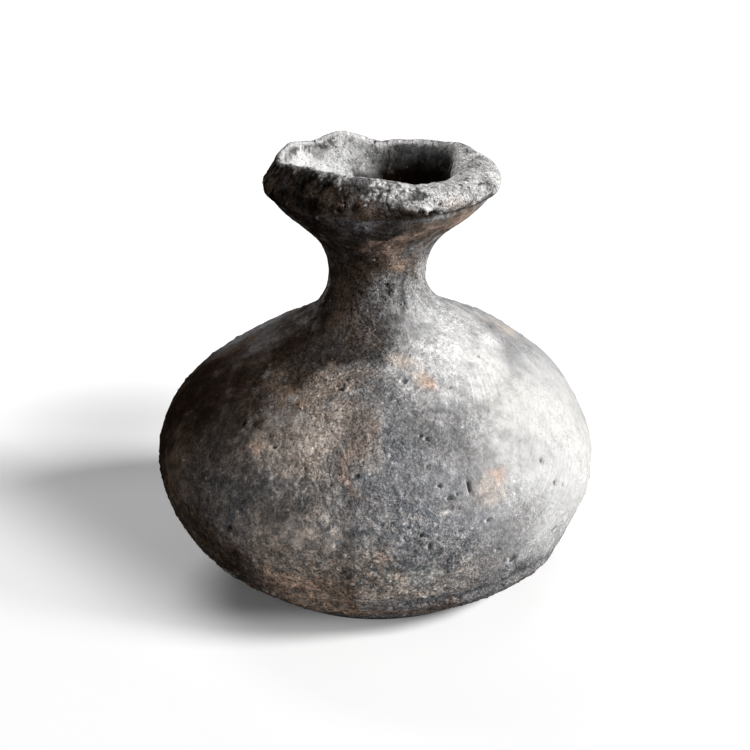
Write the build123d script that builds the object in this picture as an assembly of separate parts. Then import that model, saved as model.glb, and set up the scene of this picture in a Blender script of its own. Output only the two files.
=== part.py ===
from build123d import *
import os
from math import cos, pi, radians, sin

# A small hand-built clay flask: a low round belly, a narrow neck and a wide funnel mouth.
# Sizes are in millimetres. The origin is the middle of the flat underside, and +Z is up.
# The potter's pieces are luted together: a pad, six coils, a neck collar, a funnel and a lip.

# Driving sizes
FLOOR_TOP = 6.5
RIDGE_Z = 8.3
THROAT_RADIUS = 5.6
THROAT_LOW = 61.5
THROAT_HIGH = 73.0
LIP_SEAM_Z = 83.6
LIP_TOP_Z = 91.8
CLEAR = 4.0

# How far the rings are out of round, front to back, and how far the lip is.
BODY_WAVE_2 = 0.3
BODY_WAVE_3 = 0.25
LIP_WAVE_3 = 0.6
RING_POINTS = 16

# Outside of the flask: height, radius, and how far the ring's middle leans towards +X.
UNDERSIDE = [(0.0, 26.8, 0.9), (1.4, 29.0, 0.9), (4.9, 34.2, 0.9), (RIDGE_Z, 38.0, 0.8)]
BODY_AND_NECK = [
    (RIDGE_Z, 38.0, 0.8),
    (11.0, 40.2, 0.4),
    (16.5, 43.5, 0.2),
    (22.0, 45.6, 0.15),
    (28.0, 46.2, 0.15),
    (33.0, 45.2, 0.0),
    (38.0, 42.8, -0.1),
    (43.1, 39.0, 0.5),
    (48.5, 32.6, 1.2),
    (53.1, 25.2, 2.0),
    (57.0, 17.5, 2.0),
    (60.5, 12.2, 0.7),
    (64.1, 10.3, 0.4),
    (68.0, 10.1, 0.5),
    (72.4, 11.5, 0.7),
    (77.0, 15.7, 0.7),
    (81.0, 20.8, 0.9),
    (LIP_SEAM_Z + 1.2, 23.7, 1.1),
]
LIP = [
    (LIP_SEAM_Z, 23.3, 1.1),
    (85.2, 24.4, 1.15),
    (87.0, 24.3, 1.25),
    (88.6, 23.3, 1.4),
    (90.2, 21.6, 1.6),
    (LIP_TOP_Z, 19.9, 1.8),
]

# Inside of the flask: the belly, and the funnel above the throat.
CAVITY = [
    (FLOOR_TOP, 25.0, 0.8),
    (8.6, 30.6, 0.8),
    (12.0, 35.2, 0.5),
    (17.0, 38.5, 0.2),
    (22.5, 40.4, 0.15),
    (29.0, 40.8, 0.1),
    (35.3, 38.4, 0.0),
    (40.8, 34.4, 0.4),
    (45.2, 28.6, 1.0),
    (48.6, 22.3, 1.5),
    (52.0, 14.8, 1.2),
    (55.6, 9.2, 0.6),
    (59.0, 6.4, 0.2),
    (THROAT_LOW + 0.6, THROAT_RADIUS - 0.2, 0.0),
]
FUNNEL = [
    (THROAT_HIGH - 0.6, THROAT_RADIUS - 0.2, 0.0),
    (75.8, 7.9, 0.1),
    (80.8, 13.0, 0.3),
    (84.6, 16.4, 0.4),
    (88.0, 17.3, 0.5),
    (90.4, 18.0, 0.7),
    (LIP_TOP_Z + 1.6, 19.2, 0.8),
]

# Dips pressed and knife-trimmed into the lip: direction round the rim in degrees, height there
# and tilt outwards. The lip stands highest between them.
LIP_MIDDLE_RADIUS = 21.0
LIP_DIPS = [(-12, 88.9, 9), (74, 90.0, 12), (143, 89.5, 14), (188, 89.9, 10), (-74, 90.4, 8)]

# Luted joins, from the outside of the wall to the inside, as radius and height at each end.
# Each is bevelled, so a coil's inner edge laps up over the one below it.
JOINS = [
    ((38.0, RIDGE_Z), (31.2, 9.6)),
    ((43.8, 17.2), (39.0, 19.4)),
    ((46.2, 27.0), (40.8, 29.2)),
    ((44.0, 36.0), (38.0, 36.4)),
    ((36.6, 45.4), (31.4, 43.4)),
    ((24.4, 53.8), (20.4, 50.0)),
    ((13.3, 59.4), (6.2, 60.2)),
    ((11.8, 72.9), (6.6, 74.4)),
    ((23.8, LIP_SEAM_Z), (16.8, 85.4)),
]
NODES = [
    "base_pad",
    "heel_coil",
    "lower_wall_coil",
    "belly_coil",
    "upper_wall_coil",
    "shoulder_coil",
    "neck_seat_coil",
    "neck_collar",
    "mouth_funnel",
    "lip_coil",
]

FAR = 70.0


def body_wave(angle):
    """Out of round by hand: nothing at the two sides, a little in front and behind."""
    return BODY_WAVE_2 * sin(2 * angle) + BODY_WAVE_3 * sin(3 * angle)


def lip_wave(angle):
    """The lip has three soft corners."""
    return LIP_WAVE_3 * sin(3 * angle)


def ring(height, radius, lean, wave):
    """One closed curve round the flask at one height."""
    points = []
    for step in range(RING_POINTS):
        angle = 2 * pi * step / RING_POINTS
        reach = radius + wave(angle)
        points.append((lean + reach * cos(angle), reach * sin(angle), height))
    return Wire([Edge.make_spline([Vector(*p) for p in points], periodic=True)])


def stack(stations, wave):
    """A solid whose skin runs smoothly through the rings."""
    return Solid.make_loft([ring(*station, wave) for station in stations])


def lip_dip(direction, height, tilt):
    """What a flat tilted cut takes off the top of the lip."""
    angle = radians(direction)
    slope = radians(tilt)
    middle = (LIP_MIDDLE_RADIUS * cos(angle), LIP_MIDDLE_RADIUS * sin(angle), height)
    normal = (sin(slope) * cos(angle), sin(slope) * sin(angle), cos(slope))
    above = Plane(origin=middle, z_dir=normal)
    return above * Pos(0, 0, FAR / 2) * Box(2 * FAR, 2 * FAR, FAR)


def below(join):
    """Everything under one luted join: a turned solid with the join as its bevelled edge."""
    (r_out, z_out), (r_in, z_in) = join
    length = ((r_out - r_in) ** 2 + (z_out - z_in) ** 2) ** 0.5
    step_r = (r_out - r_in) / length * CLEAR
    step_z = (z_out - z_in) / length * CLEAR
    outline = Polyline(
        (0, -CLEAR),
        (FAR, -CLEAR),
        (FAR, z_out + step_z),
        (r_out + step_r, z_out + step_z),
        (r_in - step_r, z_in - step_z),
        (0, z_in - step_z),
        close=True,
    )
    half = Plane.XZ * make_face(outline)
    return revolve(half, Axis.Z)


# The wall as one form, before it is parted at the joins
outside = stack(UNDERSIDE, body_wave) + stack(BODY_AND_NECK, body_wave) + stack(LIP, lip_wave)
throat_height = THROAT_HIGH - THROAT_LOW
throat = Pos(0, 0, THROAT_LOW + throat_height / 2) * Cylinder(THROAT_RADIUS, throat_height)
inside = stack(CAVITY, body_wave) + throat + stack(FUNNEL, body_wave)
wall = outside - inside
for direction, height, tilt in LIP_DIPS:
    wall = wall - lip_dip(direction, height, tilt)

# Each piece is what is left of the wall under its upper join
os.makedirs("parts", exist_ok=True)
left_over = wall
for name, join in zip(NODES, JOINS):
    cutter = below(join)
    piece = left_over & cutter
    left_over = left_over - cutter
    piece.label = name
    export_step(piece, f"parts/{name}.step")
    print(name, "solids", len(piece.solids()), "volume", round(piece.volume, 1))
left_over.label = NODES[-1]
export_step(left_over, f"parts/{NODES[-1]}.step")
print(NODES[-1], "solids", len(left_over.solids()), "volume", round(left_over.volume, 1))
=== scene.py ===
import math
from collections import namedtuple
from concurrent.futures import ThreadPoolExecutor
from functools import reduce
from itertools import product

import bpy
import numpy as np
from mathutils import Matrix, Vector


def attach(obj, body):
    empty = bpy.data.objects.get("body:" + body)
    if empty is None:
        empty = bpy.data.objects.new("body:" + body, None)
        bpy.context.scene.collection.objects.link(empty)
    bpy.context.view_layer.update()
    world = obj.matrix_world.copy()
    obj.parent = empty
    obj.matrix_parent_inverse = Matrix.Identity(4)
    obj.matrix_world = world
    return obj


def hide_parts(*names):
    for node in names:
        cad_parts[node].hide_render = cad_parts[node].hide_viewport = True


# A small hand-built clay flask, smoked dark, on a white table in soft light from the right.
# Shapes are worked out in millimetres, as in the part's source, and written in metres.

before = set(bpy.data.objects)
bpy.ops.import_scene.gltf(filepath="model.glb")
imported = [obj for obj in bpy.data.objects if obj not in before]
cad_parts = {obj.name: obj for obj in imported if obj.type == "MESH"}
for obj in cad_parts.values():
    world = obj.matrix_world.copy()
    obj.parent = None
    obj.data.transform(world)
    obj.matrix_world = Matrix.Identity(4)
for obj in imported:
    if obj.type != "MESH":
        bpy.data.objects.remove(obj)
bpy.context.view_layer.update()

MM = 0.001

# Mesh fineness
COLUMNS = 1200
OUTER_STEP = 0.25
MOUTH_STEP = 0.4
HIDDEN_STEP = 1.6
LUTE_ROWS = 2

# Outside of the flask, as in the part's source: height, radius, lean towards +X
RIDGE_Z = 8.3
UNDERSIDE = [(0.0, 26.8, 0.9), (1.4, 29.0, 0.9), (4.9, 34.2, 0.9), (RIDGE_Z, 38.0, 0.8)]
WALL = [
    (RIDGE_Z, 38.0, 0.8),
    (11.0, 40.2, 0.4),
    (16.5, 43.5, 0.2),
    (22.0, 45.6, 0.15),
    (28.0, 46.2, 0.15),
    (33.0, 45.2, 0.0),
    (38.0, 42.8, -0.1),
    (43.1, 39.0, 0.5),
    (48.5, 32.6, 1.2),
    (53.1, 25.2, 2.0),
    (57.0, 17.5, 2.0),
    (60.5, 12.2, 0.7),
    (64.1, 10.3, 0.4),
    (68.0, 10.1, 0.5),
    (72.4, 11.5, 0.7),
    (77.0, 15.7, 0.7),
    (81.0, 20.6, 0.9),
    (83.6, 22.9, 1.1),
]
LIP_SEAM_Z = 83.6
# The lip round the mouth: angle in degrees, then radius and height of its crest, of its
# shoulder and of its widest line. It is a thin bevelled crest on the left and a full roll
# on the right, with a broken bump and a notch behind.
LIP = [
    (-180, 18.9, 90.1, 20.9, 88.2, 22.9, 85.4),
    (-150, 18.5, 91.5, 20.9, 89.3, 23.6, 85.4),
    (-130, 18.3, 91.8, 20.9, 89.6, 23.8, 85.3),
    (-110, 18.4, 91.3, 21.2, 89.5, 23.9, 85.3),
    (-90, 18.2, 90.7, 21.7, 89.2, 24.1, 85.5),
    (-70, 18.0, 89.6, 22.3, 88.9, 24.8, 85.9),
    (-50, 17.9, 88.7, 22.6, 88.8, 25.4, 86.2),
    (-20, 17.3, 88.6, 22.9, 88.8, 25.7, 86.2),
    (10, 17.3, 89.1, 23.2, 89.1, 25.8, 86.2),
    (32, 20.0, 90.7, 24.0, 89.4, 26.2, 86.3),
    (50, 20.5, 90.5, 23.4, 89.3, 25.4, 86.2),
    (75, 20.0, 89.8, 22.8, 88.6, 24.6, 86.0),
    (92, 19.8, 89.8, 22.4, 88.6, 24.2, 85.9),
    (107, 19.8, 91.8, 22.4, 89.6, 24.0, 85.8),
    (119, 20.0, 91.6, 22.5, 89.4, 24.0, 85.7),
    (128, 20.3, 90.7, 22.7, 88.8, 24.0, 85.6),
    (140, 20.4, 91.0, 22.6, 88.9, 24.0, 85.6),
    (160, 20.0, 90.8, 22.2, 88.4, 23.6, 85.5),
]
LIP_ROWS = 46
INNER_LIP_ROWS = 26
# Two steps inwards and down from the crest, where the roll turns into the mouth
INSIDE_THE_CREST = ([[1.0], [0.9]], [[1.5], [2.6]])

# Inside of the flask, from the floor of the belly up to the lip
FLOOR_TOP = 6.5
THROAT_RADIUS = 5.6
THROAT_LOW = 61.5
THROAT_HIGH = 73.0
CAVITY = [
    (FLOOR_TOP, 25.0, 0.8),
    (8.6, 30.6, 0.8),
    (12.0, 35.2, 0.5),
    (17.0, 38.5, 0.2),
    (22.5, 40.4, 0.15),
    (29.0, 40.8, 0.1),
    (35.3, 38.4, 0.0),
    (40.8, 34.4, 0.4),
    (45.2, 28.6, 1.0),
    (48.6, 22.3, 1.5),
    (52.0, 14.8, 1.2),
    (55.6, 9.2, 0.6),
    (59.0, 6.4, 0.2),
    (THROAT_LOW, THROAT_RADIUS, 0.0),
]
THROAT = [(THROAT_LOW, THROAT_RADIUS, 0.0), (THROAT_HIGH, THROAT_RADIUS, 0.0)]
FUNNEL = [
    (THROAT_HIGH, THROAT_RADIUS, 0.0),
    (75.8, 7.9, 0.1),
    (80.8, 13.0, 0.2),
    (83.0, 15.0, 0.2),
    (84.6, 16.0, 0.2),
]

# The flat foot and the belly's floor: radii of their rings, and how far they lean
FLAT_RINGS = (1.5, 6, 12, 18, 22, 24.5, 26)
FOOT_LEAN = 0.9
FLOOR_LEAN = 0.8

# Luted joins, as in the part's source: outside radius and height, inside radius and height
JOINS = [
    ((38.0, RIDGE_Z), (31.2, 9.6)),
    ((43.8, 17.2), (39.0, 19.4)),
    ((46.2, 27.0), (40.8, 29.2)),
    ((44.0, 36.0), (38.0, 36.4)),
    ((36.6, 45.4), (31.4, 43.4)),
    ((24.4, 53.8), (20.4, 50.0)),
    ((13.3, 59.4), (6.2, 60.2)),
    ((11.8, 72.9), (6.6, 74.4)),
    ((22.9, LIP_SEAM_Z), (16.8, 85.4)),
]
NODES = [
    "base_pad", "heel_coil", "lower_wall_coil", "belly_coil",
    "upper_wall_coil", "shoulder_coil", "neck_seat_coil", "neck_collar",
    "mouth_funnel", "lip_coil",
]
SLOTS = ["scraped_clay", *["smoked_clay"] * 8, "ashy_clay"]

# How far the rings are out of round by hand, two and three times round
BODY_WAVE_2 = 0.3
BODY_WAVE_3 = 0.25

# Pits seen in the photo: angle round the flask in degrees, height, radius, depth
PITS = [
    (-81.5, 52.2, 0.75, 0.45),
    (-75.5, 44.1, 0.6, 0.4),
    (-77.5, 44.6, 0.4, 0.3),
    (-71.2, 34.0, 0.6, 0.45),
    (-69.0, 34.5, 0.4, 0.35),
    (-61.5, 28.5, 0.65, 0.35),
    (-62.0, 30.4, 0.4, 0.25),
    (-58.0, 21.1, 0.6, 0.4),
    (-60.5, 23.0, 0.4, 0.3),
    (-51.0, 16.8, 1.1, 0.6),
    (-35.5, 19.5, 0.6, 0.4),
    (-37.5, 18.4, 0.45, 0.35),
    (-41.5, 16.8, 0.5, 0.4),
    (-43.0, 16.0, 0.35, 0.3),
    (-46.0, 14.2, 0.4, 0.3),
    (-80.0, 10.6, 0.7, 0.4),
    (-117.5, 9.8, 0.8, 0.5),
    (-94.5, 38.6, 0.6, 0.35),
    (-77.0, 25.0, 0.6, 0.35),
    (-64.2, 84.6, 0.9, 0.7),
    (-57.5, 62.5, 0.6, 0.35),
]
# Gouges and scratches: angle and height of start and end, half width, depth
GOUGES = [
    (-65.6, 36.6, -65.2, 34.0, 0.42, 0.8),
    (-72.8, 31.8, -71.2, 31.9, 0.35, 0.3),
    (-92.2, 25.6, -89.0, 18.4, 0.3, 0.18),
    (-93.5, 30.0, -90.5, 25.0, 0.25, 0.12),
    (-103.0, 47.5, -97.0, 46.8, 0.25, 0.1),
    (-118.0, 38.5, -110.0, 35.5, 0.3, 0.12),
    (-46.0, 41.0, -40.0, 33.0, 0.3, 0.1),
    (-38.0, 44.0, -33.0, 37.0, 0.3, 0.1),
]
RANDOM_PITS = 190
RANDOM_GRAINS = 1800
PIT_SEED = 11
# Wiping strokes on the right side: their slant, length and width
STROKE_SLANT = math.radians(40)
STROKE_LENGTH = 6
STROKE_WIDTH = 0.55

# Named masks carried by the mesh, the width of the worn rim, and the depth over which the mouth's
# painted shade deepens
# The pit mask carries painted shade, and the rim mask also painted highlights beside pits
MASKS = ("grain", "pit", "rim", "gritty")
RIM_WIDTH = 1.0
MOUTH_DEPTH = 9.0
# The masks, then red, green and blue, on the lutes and in the middle of the belly's floor
LUTE_MASK = (0.5, 0, 0, 0.4, 0.2, 0.2, 0.2)
FLOOR_MASK = (0.5, 0, 0, 0.4, 0.1, 0.1, 0.1)

# The map for baked colours: its strips, the gap round each, and the outside's share
BAKE_STRIPS = 5
BAKE_EDGE = 0.004
BAKE_OUTSIDE = 0.78

# Colours of the fired clay, as linear red, green, blue
PALE_GREY = (0.33, 0.328, 0.332)
GREY = (0.235, 0.23, 0.23)
SLATE = (0.26, 0.263, 0.275)
DARK_SLATE = (0.09, 0.088, 0.09)
ASH = (0.6, 0.595, 0.59)
CREAM = (0.72, 0.695, 0.65)
CHALK = (0.78, 0.765, 0.755)
TAN = (0.6, 0.515, 0.45)
PALE_TAN = (0.62, 0.54, 0.475)
BROWN = (0.38, 0.275, 0.205)
UMBER = (0.14, 0.1, 0.075)
ORANGE = (0.62, 0.455, 0.365)
SMOKE = (0.05, 0.036, 0.027)
SOOT = (0.016, 0.009, 0.006)

# Patches of colour: angle in degrees, height, radius there, half sizes across and up,
# colour, strength, and degrees of turn if it has one. They are laid in this order.
PATCHES = [
    # smoke, and painted shade away from the lamp, darken the whole left side
    (-175, 34, 46, 40, 36, UMBER, 0.95),
    (-150, 30, 44, 24, 26, UMBER, 0.8),
    # ash on the side towards the lamp and on the shoulder, painted paler as painted light
    (-18, 36, 44, 27, 22, ASH, 0.95),
    (-8, 30, 46, 14, 16, CREAM, 0.5),
    (31, 38, 43, 24, 22, PALE_GREY, 0.9),
    (-42, 23, 45, 18, 12, ASH, 0.35),
    (-44, 56, 22, 13, 8, CHALK, 1.0),
    (-66, 52, 28, 7, 6, ASH, 0.8, 20),
    (-38, 46, 35, 11, 7, CREAM, 0.45, -20),
    (-8, 52, 27, 9, 4.5, GREY, 0.6, 12),
    (-20, 50, 30, 5, 2.5, SLATE, 0.5),
    (12, 52, 27, 4, 2.5, TAN, 0.6),
    # the slate middle of the front
    (-84, 45, 39, 4, 9, SLATE, 0.75),
    (-79, 36, 43, 8, 9, SLATE, 0.95),
    (-77, 35, 43, 3, 3, DARK_SLATE, 0.5),
    (-68, 27, 45, 9, 7, SLATE, 0.8, 25),
    (-58, 21, 45, 8, 5, GREY, 0.8, 20),
    (-52, 11, 40, 16, 3.5, SLATE, 0.9),
    # Painted shade: a dark line in the groove over the ridge, and darker clay on the band under
    # it, which faces down
    (-46, 10.6, 40, 18, 1.4, DARK_SLATE, 0.6),
    (-40, 5.5, 35, 18, 2.4, UMBER, 0.8),
    (-44, 8.2, 38, 18, 1.6, GREY, 0.3),
    (-78, 6, 35, 12, 3, UMBER, 0.6),
    (-66, 34, 44, 3, 5, GREY, 0.6),
    # the tan mottle left of the middle
    (-114, 42, 40, 13, 6, TAN, 0.95),
    (-119, 40.5, 41, 7, 3, PALE_TAN, 0.9),
    (-104, 46, 37, 8, 5, TAN, 0.7),
    (-95.5, 39, 42, 2.2, 9, BROWN, 0.6),
    (-97, 47, 35, 3, 4, UMBER, 0.5),
    (-97.5, 40, 42, 2.4, 8, GREY, 0.7),
    (-116, 34, 44, 8, 3.2, GREY, 0.9),
    (-103, 35, 44, 5, 3, GREY, 0.5),
    (-108, 27, 45.5, 12, 6.5, TAN, 0.75),
    (-112, 31, 45, 6, 1.8, DARK_SLATE, 0.6, 20),
    (-101, 29, 46, 3, 2, SLATE, 0.6),
    (-118, 25, 45, 5, 2.5, UMBER, 0.6),
    (-109, 21.5, 45, 5, 1.4, UMBER, 0.6),
    (-103, 24, 45, 4, 2, PALE_TAN, 0.4, -15),
    (-95, 29, 46, 3.2, 6, SLATE, 0.8),
    (-98, 16, 43, 3.0, 7, UMBER, 0.6),
    (-91, 23, 45.5, 3.6, 4.5, PALE_TAN, 0.9),
    (-84, 18, 44, 7, 5, GREY, 0.5),
    (-76, 18.5, 44, 3, 2, CREAM, 0.9),
    (-81, 28.5, 46, 3, 3, SLATE, 0.8),
    (-72, 13, 42, 12, 4, GREY, 0.5),
    (-85, 15, 42, 5, 2.5, TAN, 0.6),
    (-112, 15, 42.5, 11, 3, TAN, 0.5),
    (-90, 13.5, 42, 8, 3, TAN, 0.6),
    (-72, 14, 42, 10, 2.8, PALE_TAN, 0.4),
    (-98, 12, 41, 4, 7, UMBER, 0.75),
    (-84, 8.5, 38, 8, 2.5, SLATE, 0.8),
    (-113, 17, 43, 9, 4, BROWN, 0.9),
    (-108, 19, 44, 6, 2.2, PALE_TAN, 0.6),
    (-112, 11, 40, 12, 3.2, BROWN, 0.85),
    (-98, 7, 36, 12, 2.5, BROWN, 0.6),
    (-117, 4, 34, 10, 2.5, UMBER, 0.8),
    (-112, 6.5, 36, 10, 1.4, BROWN, 0.7),
    (-130, 12, 40, 8, 5, SMOKE, 0.8),
    (-112, 13, 41.5, 9, 2.6, ORANGE, 0.5),
    (-104, 10, 40, 5, 2, ORANGE, 0.3),
    # smoke on the left and round the back of it, darker on the left as painted shade
    (-160, 41, 42, 26, 17, SOOT, 0.88),
    (-160, 54, 24, 14, 6, SMOKE, 0.9),
    (-170, 28, 46, 26, 17, SOOT, 0.85),
    (-146, 26, 45, 11, 15, SMOKE, 0.7),
    (-138, 41, 40, 6, 8, SMOKE, 0.65),
    (-133, 36, 42, 6, 3, BROWN, 0.35),
    (-136, 16, 43, 8, 6, SMOKE, 0.8),
    (-128, 24, 45, 6, 4, UMBER, 0.45),
    (-136, 33, 44, 7, 7, GREY, 0.4),
    (-127, 29, 45, 5, 7, GREY, 0.45),
    (-150, 31, 45, 9, 8, UMBER, 0.55),
    (-117, 25.5, 45, 6, 4, TAN, 0.35),
    # A dark streak below the neck on the left shoulder: smoke and the neck's painted shadow
    (-130, 56, 20, 10, 4, SOOT, 0.9, 15),
    (-130, 52, 27, 7, 3, SMOKE, 0.8),
    (-112, 56, 19, 8, 3.4, SMOKE, 0.9),
    (-118, 55, 21, 5, 2.6, DARK_SLATE, 0.6),
    (-122, 53.5, 24, 6, 2.4, SMOKE, 0.7, 10),
    (-114, 50.0, 29, 9, 2.2, BROWN, 0.5, 6),
    (-108, 51.0, 28, 5, 1.6, TAN, 0.35),
    (-95, 56.5, 19, 6, 4, DARK_SLATE, 0.85),
    (148, 51, 28, 12, 5, PALE_GREY, 0.9),
    (-172, 53.5, 25, 6, 3, GREY, 0.4),
    (178, 50, 29, 4, 4, UMBER, 0.7),
    # the neck and the funnel; the neck's left, under the funnel and away from the lamp, is smoke
    # and painted shade
    (-120, 68, 11, 9.5, 12, SOOT, 0.99),
    (-98, 65, 11, 5.5, 10, UMBER, 0.85),
    (-78, 61, 12, 4.5, 9, DARK_SLATE, 0.8),
    (-62, 64, 11, 4, 9, GREY, 0.8),
    (-30, 62, 12, 9, 8, ASH, 0.55),
    (-40, 69, 10, 5, 4, UMBER, 0.8),
    (-122, 80, 20, 15, 6.5, SOOT, 0.98),
    (-106, 78, 18, 6, 4, SMOKE, 0.7),
    (-92, 79, 18, 8, 5, DARK_SLATE, 0.6),
    (-90, 81.5, 20, 5, 1.8, SMOKE, 0.7),
    (-68, 77.5, 16, 4, 2, BROWN, 0.6),
    (-84, 82.5, 21.5, 5, 1.8, SMOKE, 0.6),
    (-99, 75, 14, 4, 3, SMOKE, 0.9),
    (-70, 82, 21, 6, 2, DARK_SLATE, 0.8),
    (-58, 78, 17, 8, 4, UMBER, 0.85),
    (-80, 76.2, 14.5, 3.4, 2.8, ORANGE, 0.6),
    (-84, 75, 14, 1.2, 3, SMOKE, 0.7, 10),
    (-70, 72, 12, 0.9, 3, SMOKE, 0.6),
    (-76, 64, 10, 0.8, 4, SOOT, 0.6),
    (-72, 79, 17.5, 4, 1.6, ORANGE, 0.5, 15),
    (-44, 82.2, 21.8, 10, 2.6, UMBER, 0.85),
    (-42, 81.4, 21.5, 7, 1.0, ORANGE, 0.45),
    (-74, 72, 11.5, 2.4, 3.6, BROWN, 0.8),
    (-79, 74, 12.5, 1.6, 2.4, ORANGE, 0.5),
    (150, 70, 11, 12, 12, SMOKE, 0.7),
    (170, 80, 20, 16, 6, SOOT, 0.85),
    # the unseen side
    (95, 40, 41, 15, 11, TAN, 0.8),
    (62, 28, 45, 10, 9, SLATE, 0.8),
    (118, 22, 45, 14, 7, SMOKE, 0.7, 10),
    (80, 16, 43, 9, 4, BROWN, 0.8),
    (112, 52, 27, 10, 5, DARK_SLATE, 0.8),
    (58, 60, 13, 7, 8, UMBER, 0.7),
    (40, 80, 19, 10, 4, DARK_SLATE, 0.7),
    (100, 79, 18, 9, 5, SMOKE, 0.8),
    (140, 36, 43, 8, 5, GREY, 0.7),
    (30, 12, 41, 14, 3, SLATE, 0.7),
]
# Small spots whose place shows: the same fields
SPOTS = [
    (-96.5, 24, 45, 1.8, 15, SMOKE, 0.4),
    (-95, 44, 38, 1.6, 8, SMOKE, 0.3),
    (-69.5, 51.6, 28, 1.8, 2.6, ORANGE, 0.95, 25),
    (-73, 54.2, 22, 2.2, 3.0, TAN, 0.85, 20),
    (-77, 55.4, 21, 2.2, 1.6, PALE_TAN, 0.8),
    (-70, 52.8, 26, 2.0, 2.0, PALE_TAN, 0.6, 20),
    (-57, 36.6, 44, 2.4, 1.8, ORANGE, 0.95),
    (-60, 34.2, 45, 3.4, 2.6, TAN, 0.55, -20),
    (-124, 40.3, 41, 2.2, 1.5, ORANGE, 0.7),
    (-88, 22.4, 46, 1.6, 2.4, ORANGE, 0.5),
    (-96, 41, 41, 1.2, 5, ORANGE, 0.25),
    (-66, 20, 45, 1.6, 1.2, CREAM, 0.6),
    (-72, 31.6, 45, 1.2, 0.5, CREAM, 0.8),
    (112, 33, 45, 2.2, 1.6, ORANGE, 0.8),
    (80, 47, 35, 2.4, 1.6, ORANGE, 0.7, 20),
    (25, 30, 46, 2.0, 2.6, TAN, 0.7),
]
# Patches on the rolled lip
LIP_PATCHES = [
    (-86, 87, 25, 5, 1.0, DARK_SLATE, 0.7),
    (-60, 84.4, 24.5, 7, 0.8, SMOKE, 0.7),
    (-20, 84.4, 24.5, 8, 0.8, SMOKE, 0.6),
    (-52, 86.5, 25, 3, 1, TAN, 0.6),
    (128, 90.5, 21, 2, 1.4, SMOKE, 0.6),
    (33, 90.2, 22.5, 4, 1.6, DARK_SLATE, 0.6),
    (48, 90.6, 21.5, 2.5, 1.6, SMOKE, 0.6),
    (-4, 89, 19.5, 4, 1.6, DARK_SLATE, 0.5),
    (12, 89.5, 23, 1.6, 1.6, SMOKE, 0.4),
    (-98, 89.5, 22, 3, 1.2, DARK_SLATE, 0.5),
]
# Where the lip turns pale, lower down on the right that the lamp lights, as ash and painted
# light: angle in degrees, share of the way from its seam to its crest
LIP_PALE_FROM = [
    (-180, 0.9), (-140, 0.88), (-118, 0.77), (-104, 0.68), (-90, 0.56), (-76, 0.34),
    (-60, 0.14), (-20, 0.15), (20, 0.28), (50, 0.55), (90, 0.72), (130, 0.8),
]
PATCH_SOFTNESS = 0.65
MOTTLE_TINT = (0.56, 0.49, 0.43)
DUST_TINT = (1.6, 1.58, 1.54)

# Each clay's dust, strength of grit, and of soot and painted shade in its cracks
CLAYS = {
    "smoked_clay": (0.4, 0.75, 0.25),
    "scraped_clay": (0.3, 0.8, 0.5),
    "ashy_clay": (0.3, 0.45, 0.8),
}
# Fine texture: grit and sand in millimetres, and the depth of bumps in metres
GRIT_SIZE = 0.7
SAND_SIZE = 1.7
GRIT_DEPTH = 0.00042
FINE_DEPTH = 0.0002

# The table, in metres. What it throws back is grey. What it shows is white, with painted shadow
# greying the far edge of the shadow, and painted light thinning the shadow out to the left and in
# front.
TABLE_HALF = 3.0
TABLE_GREY = (0.5, 0.5, 0.5, 1)
TABLE_WHITE = (0.74, 1.12)
PAPER_WHITE = (0.96, 0.96, 0.96, 1)
SHADOW_BACK_EDGE = (-0.066, 0.082, 0)
SHADOW_BACK_REACH = 0.055
SHADOW_LEFT = (0.033, 0.068)
SHADOW_FRONT = (0.02, 0.034)

# Light: the room's grey, and lamps by direction, width and how bright they make white clay
ROOM_GREY = (0.06, 0.06, 0.062, 1)
LAMP_DISTANCE = 2500
LAMP_TARGET_Z = 40
LAMPS = {
    "window": ((0.8, -0.27, 0.5), 700, 1.45),
    "front_fill": ((-0.25, -1, 0.2), 1500, 0.17),
    "back_glow": ((-0.35, 0.8, 0.75), 1500, 0.4),
}

# The photo's view, in millimetres and degrees above the table
CAMERA_DISTANCE = 387.0
CAMERA_SLOPE = 20
CAMERA_TARGET_Z = 43.72
LENS = 87.71
SENSOR_WIDTH = 36.0


def curve_rows(stations, step):
    """Rows of height, radius and lean along a smooth curve through the stations."""
    points = np.array(stations, float)
    reach = np.hypot(*np.diff(points[:, :2], axis=0).T)
    knots = np.concatenate([[0.0], np.cumsum(reach)])
    count = max(2, int(round(knots[-1] / step)) + 1)
    at = np.linspace(0, knots[-1], count)
    return np.stack([natural_spline(knots, points[:, k], at) for k in range(3)], 1)


def natural_spline(knots, values, at):
    """A cubic spline through values, straight at its two ends; values may have columns."""
    size = len(knots)
    gap = np.diff(knots)
    slope = (np.diff(values, axis=0).T / gap).T
    system = np.eye(size)
    right = np.zeros(values.shape)
    for k in range(1, size - 1):
        system[k, k - 1 : k + 2] = gap[k - 1], 2 * (gap[k - 1] + gap[k]), gap[k]
        right[k] = 6 * (slope[k] - slope[k - 1])
    bend = np.linalg.solve(system, right)
    k = np.clip(np.searchsorted(knots, at, side="right") - 1, 0, size - 2)
    left, width = at - knots[k], gap[k]
    if values.ndim > 1:
        left, width = left[:, None], width[:, None]
    first = slope[k] - width * (2 * bend[k] + bend[k + 1]) / 6
    third = (bend[k + 1] - bend[k]) / (6 * width)
    return values[k] + left * (first + left * (bend[k] / 2 + left * third))


def unit(vectors):
    """The same directions, each of length 1."""
    return vectors / np.maximum(np.linalg.norm(vectors, axis=-1, keepdims=True), 1e-12)


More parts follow.
